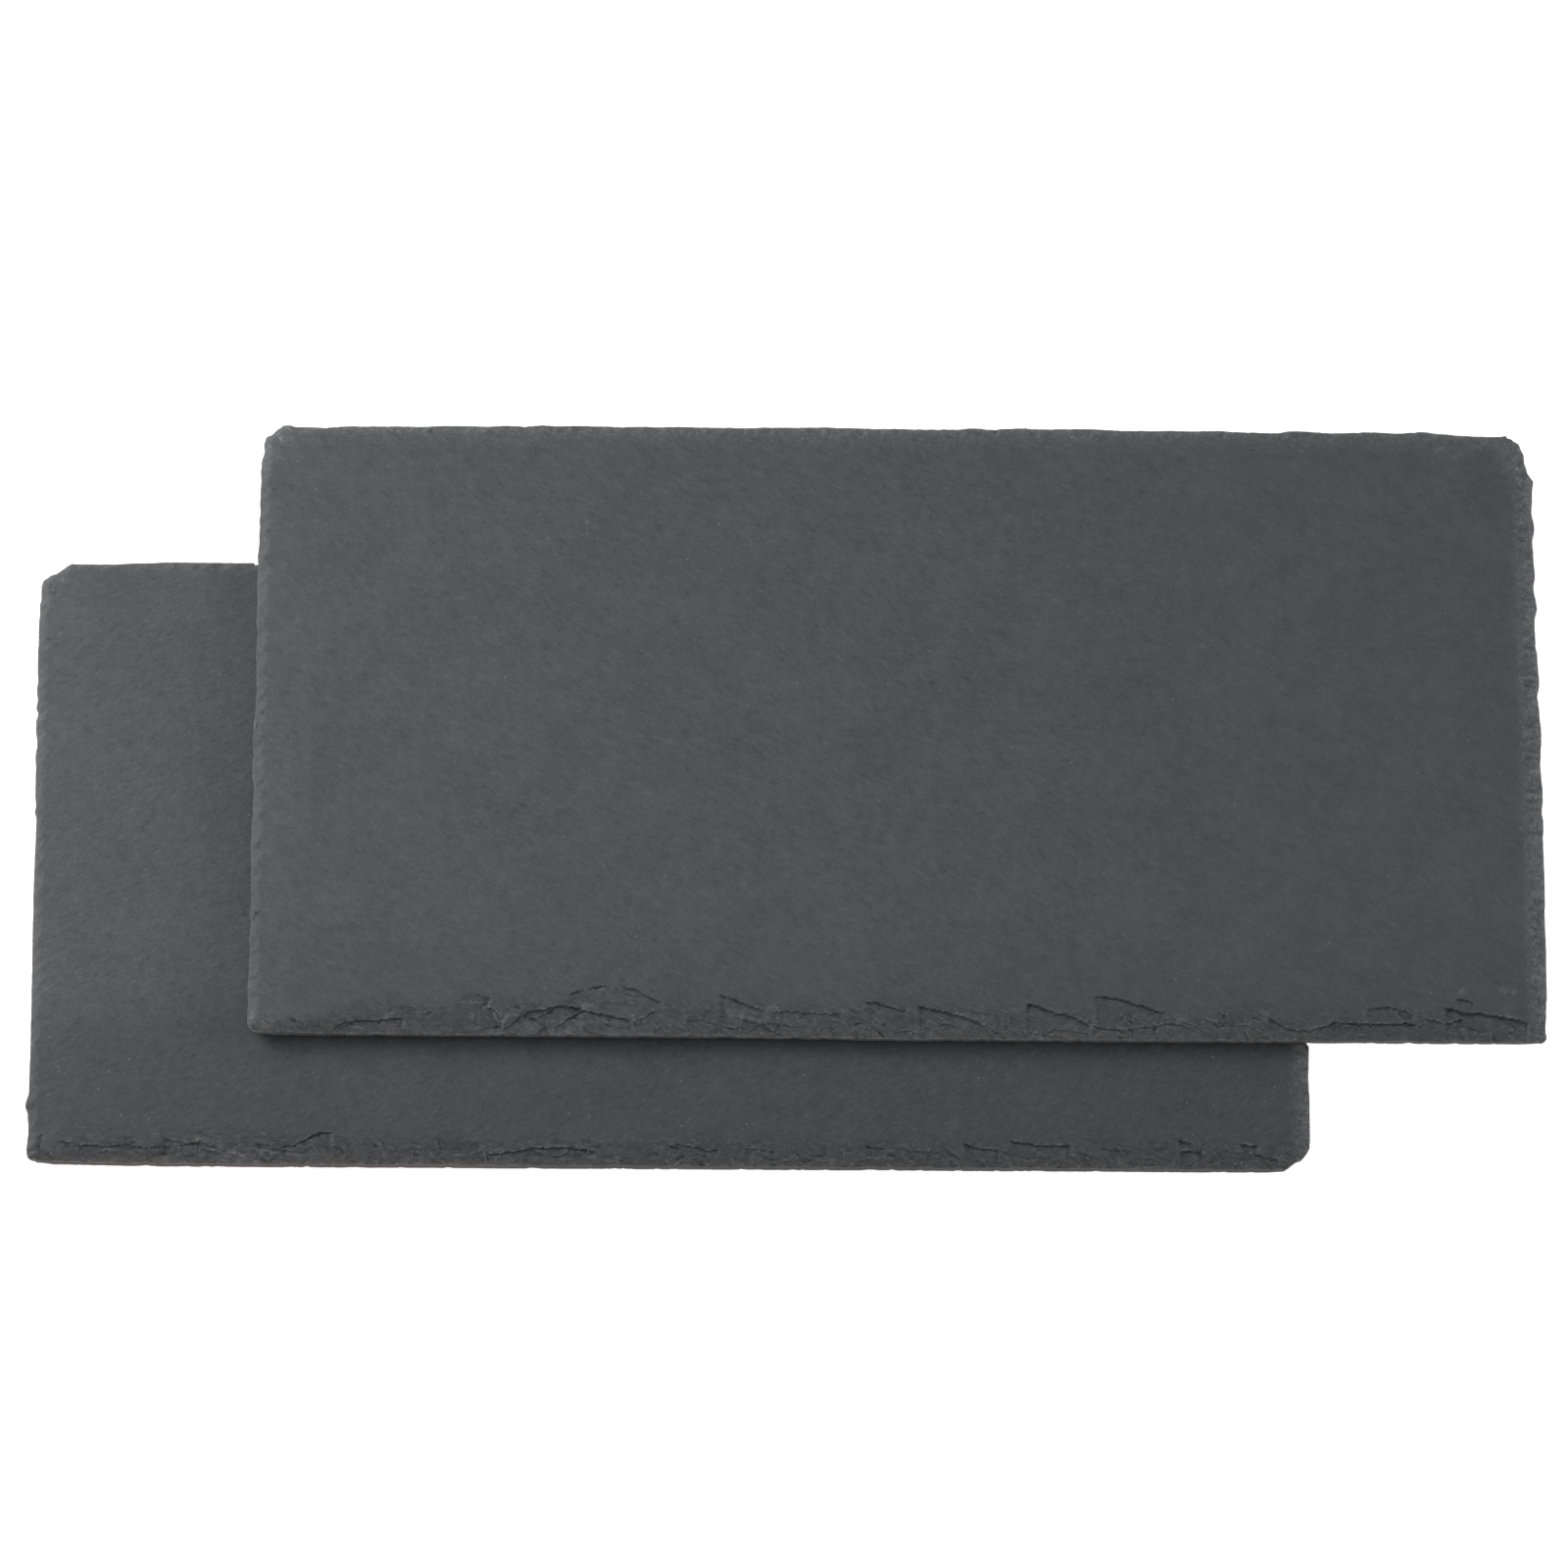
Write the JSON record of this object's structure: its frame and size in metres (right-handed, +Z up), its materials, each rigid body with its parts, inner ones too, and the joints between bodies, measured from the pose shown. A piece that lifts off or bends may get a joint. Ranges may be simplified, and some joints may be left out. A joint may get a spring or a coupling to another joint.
{
  "type": "slate serving boards, stacked pair",
  "caption": "Two rectangular natural slate serving boards with hand-chipped edges on foam feet, one laid offset on the other.",
  "frame": {"origin": "middle of the pair's footprint, on the surface that the lower board's feet stand on", "axes": "+X along the boards' long side, to the right in the picture; +Y to the back; +Z up, out of the serving faces"},
  "size_m": [0.3542, 0.179, 0.0144],
  "materials": {
    "slate": "matte",
    "foam_foot": "matte",
    "adhesive": "satin"
  },
  "bodies": {
    "lower_board": {"lower_slate": "slate", "lower_foot_front_left": "foam_foot", "lower_foot_front_right": "foam_foot", "lower_foot_back_right": "foam_foot", "lower_foot_back_left": "foam_foot", "lower_adhesive_front_left": "adhesive", "lower_adhesive_front_right": "adhesive", "lower_adhesive_back_right": "adhesive", "lower_adhesive_back_left": "adhesive"},
    "upper_board": {"upper_slate": "slate", "upper_foot_front_left": "foam_foot", "upper_foot_front_right": "foam_foot", "upper_foot_back_right": "foam_foot", "upper_foot_back_left": "foam_foot", "upper_adhesive_front_left": "adhesive", "upper_adhesive_front_right": "adhesive", "upper_adhesive_back_right": "adhesive", "upper_adhesive_back_left": "adhesive"}
  },
  "joints": [
    {"name": "upper_board_lift", "type": "slide", "parent": "lower_board", "child": "upper_board", "axis": [0, 0, 1], "range_m": [0, 0.1]}
  ]
}
